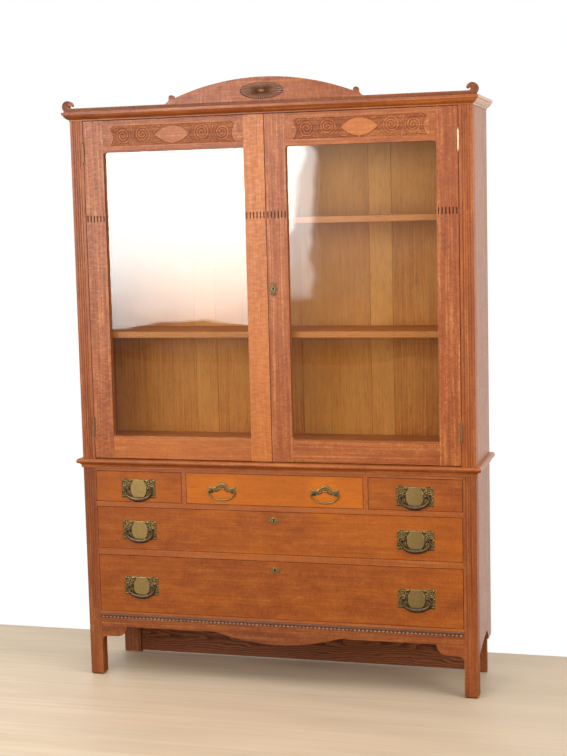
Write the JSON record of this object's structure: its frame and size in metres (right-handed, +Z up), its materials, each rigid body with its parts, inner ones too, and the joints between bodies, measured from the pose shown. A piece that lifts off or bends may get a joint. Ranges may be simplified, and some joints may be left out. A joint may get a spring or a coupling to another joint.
{
  "type": "glazed hutch",
  "caption": "Oak hutch: shelved cupboard with glazed hinged doors over a chest of drawers with brass bail pulls, carved crest and reeded posts.",
  "frame": {"origin": "on the floor, at the middle of the outline's width and depth", "axes": "+X to the viewer's right, -Y out of the front with the doors and drawers, +Z up"},
  "size_m": [1.34, 0.31, 1.94],
  "materials": {
    "oak_case": "quarter-sawn oak, reddish-brown stain under satin varnish",
    "oak_doors": "quarter-sawn oak, reddish-brown stain under satin varnish",
    "oak_drawers": "quarter-sawn oak, orange-brown stain under satin varnish",
    "oak_inside": "golden oak boards, thin old varnish",
    "pine": "bare planed pine",
    "pine_back": "stained flat-sawn pine",
    "brass": "aged cast brass with dark green-brown patina",
    "glass": "clear window glass"
  },
  "bodies": {
    "case": {"front_legs": "oak_case", "rear_legs": "oak_case", "base_sides": "oak_case", "base_back_boards": "pine_back", "drawer_rails": "oak_case", "drawer_runners": "pine", "apron": "oak_case", "bead_moulding": "oak_case", "base_top": "oak_case", "waist_moulding": "oak_case", "cornice": "oak_case", "pilasters": "oak_case", "upper_sides": "oak_case", "case_top": "oak_case", "case_floor": "oak_case", "upper_back_boards": "oak_inside", "shelves": "oak_case", "crest_board": "oak_case", "patera": "oak_case", "post_hinge_leaves": "brass"},
    "left_door": {"left_door_stiles": "oak_doors", "left_door_rails": "oak_doors", "left_door_glass": "glass", "left_door_beads": "oak_doors", "left_door_fittings": "brass"},
    "right_door": {"right_door_stiles": "oak_doors", "right_door_rails": "oak_doors", "right_door_glass": "glass", "right_door_beads": "oak_doors", "right_door_fittings": "brass", "right_door_lock": "brass"},
    "left_door_bolt": {"left_door_bolt": "brass"},
    "right_door_lock_bolt": {"right_door_lock_bolt": "brass"},
    "top_left_drawer": {"top_left_drawer_front": "oak_drawers", "top_left_drawer_box": "pine", "top_left_drawer_plates": "brass"},
    "top_left_drawer_bail": {"top_left_drawer_bail": "brass"},
    "top_middle_drawer": {"top_middle_drawer_front": "oak_drawers", "top_middle_drawer_box": "pine", "top_middle_drawer_plates": "brass"},
    "top_middle_drawer_left_bail": {"top_middle_drawer_left_bail": "brass"},
    "top_middle_drawer_right_bail": {"top_middle_drawer_right_bail": "brass"},
    "top_right_drawer": {"top_right_drawer_front": "oak_drawers", "top_right_drawer_box": "pine", "top_right_drawer_plates": "brass"},
    "top_right_drawer_bail": {"top_right_drawer_bail": "brass"},
    "middle_drawer": {"middle_drawer_front": "oak_drawers", "middle_drawer_box": "pine", "middle_drawer_plates": "brass", "middle_drawer_lock": "brass"},
    "middle_drawer_left_bail": {"middle_drawer_left_bail": "brass"},
    "middle_drawer_right_bail": {"middle_drawer_right_bail": "brass"},
    "middle_drawer_lock_bolt": {"middle_drawer_lock_bolt": "brass"},
    "bottom_drawer": {"bottom_drawer_front": "oak_drawers", "bottom_drawer_box": "pine", "bottom_drawer_plates": "brass", "bottom_drawer_lock": "brass"},
    "bottom_drawer_left_bail": {"bottom_drawer_left_bail": "brass"},
    "bottom_drawer_right_bail": {"bottom_drawer_right_bail": "brass"},
    "bottom_drawer_lock_bolt": {"bottom_drawer_lock_bolt": "brass"}
  },
  "joints": [
    {"name": "left_door_hinge", "type": "hinge", "parent": "case", "child": "left_door", "pos_m": [-0.606, -0.139, 1.28], "axis": [0, 0, -1], "range_deg": [0, 170]},
    {"name": "right_door_hinge", "type": "hinge", "parent": "case", "child": "right_door", "pos_m": [0.606, -0.139, 1.28], "axis": [0, 0, 1], "range_deg": [0, 170]},
    {"name": "left_door_bolt_slide", "type": "slide", "parent": "left_door", "child": "left_door_bolt", "axis": [0, 0, 1], "range_m": [0, 0.01]},
    {"name": "right_door_lock_throw", "type": "slide", "parent": "right_door", "child": "right_door_lock_bolt", "axis": [-1, 0, 0], "range_m": [0, 0.008]},
    {"name": "top_left_drawer_slide", "type": "slide", "parent": "case", "child": "top_left_drawer", "axis": [0, -1, 0], "range_m": [0, 0.18]},
    {"name": "top_left_drawer_bail_swing", "type": "hinge", "parent": "top_left_drawer", "child": "top_left_drawer_bail", "pos_m": [-0.458, -0.1435, 0.6365], "axis": [-1, 0, 0], "range_deg": [0, 90]},
    {"name": "top_middle_drawer_slide", "type": "slide", "parent": "case", "child": "top_middle_drawer", "axis": [0, -1, 0], "range_m": [0, 0.18]},
    {"name": "top_middle_drawer_left_bail_swing", "type": "hinge", "parent": "top_middle_drawer", "child": "top_middle_drawer_left_bail", "pos_m": [-0.171, -0.1435, 0.6365], "axis": [-1, 0, 0], "range_deg": [0, 90]},
    {"name": "top_middle_drawer_right_bail_swing", "type": "hinge", "parent": "top_middle_drawer", "child": "top_middle_drawer_right_bail", "pos_m": [0.171, -0.1435, 0.6365], "axis": [-1, 0, 0], "range_deg": [0, 90]},
    {"name": "top_right_drawer_slide", "type": "slide", "parent": "case", "child": "top_right_drawer", "axis": [0, -1, 0], "range_m": [0, 0.18]},
    {"name": "top_right_drawer_bail_swing", "type": "hinge", "parent": "top_right_drawer", "child": "top_right_drawer_bail", "pos_m": [0.458, -0.1435, 0.6365], "axis": [-1, 0, 0], "range_deg": [0, 90]},
    {"name": "middle_drawer_slide", "type": "slide", "parent": "case", "child": "middle_drawer", "axis": [0, -1, 0], "range_m": [0, 0.18]},
    {"name": "middle_drawer_left_bail_swing", "type": "hinge", "parent": "middle_drawer", "child": "middle_drawer_left_bail", "pos_m": [-0.459, -0.1435, 0.498], "axis": [-1, 0, 0], "range_deg": [0, 90]},
    {"name": "middle_drawer_right_bail_swing", "type": "hinge", "parent": "middle_drawer", "child": "middle_drawer_right_bail", "pos_m": [0.459, -0.1435, 0.498], "axis": [-1, 0, 0], "range_deg": [0, 90]},
    {"name": "middle_drawer_lock_throw", "type": "slide", "parent": "middle_drawer", "child": "middle_drawer_lock_bolt", "axis": [0, 0, 1], "range_m": [0, 0.008]},
    {"name": "bottom_drawer_slide", "type": "slide", "parent": "case", "child": "bottom_drawer", "axis": [0, -1, 0], "range_m": [0, 0.18]},
    {"name": "bottom_drawer_left_bail_swing", "type": "hinge", "parent": "bottom_drawer", "child": "bottom_drawer_left_bail", "pos_m": [-0.459, -0.1435, 0.311], "axis": [-1, 0, 0], "range_deg": [0, 90]},
    {"name": "bottom_drawer_right_bail_swing", "type": "hinge", "parent": "bottom_drawer", "child": "bottom_drawer_right_bail", "pos_m": [0.459, -0.1435, 0.311], "axis": [-1, 0, 0], "range_deg": [0, 90]},
    {"name": "bottom_drawer_lock_throw", "type": "slide", "parent": "bottom_drawer", "child": "bottom_drawer_lock_bolt", "axis": [0, 0, 1], "range_m": [0, 0.008]}
  ]
}
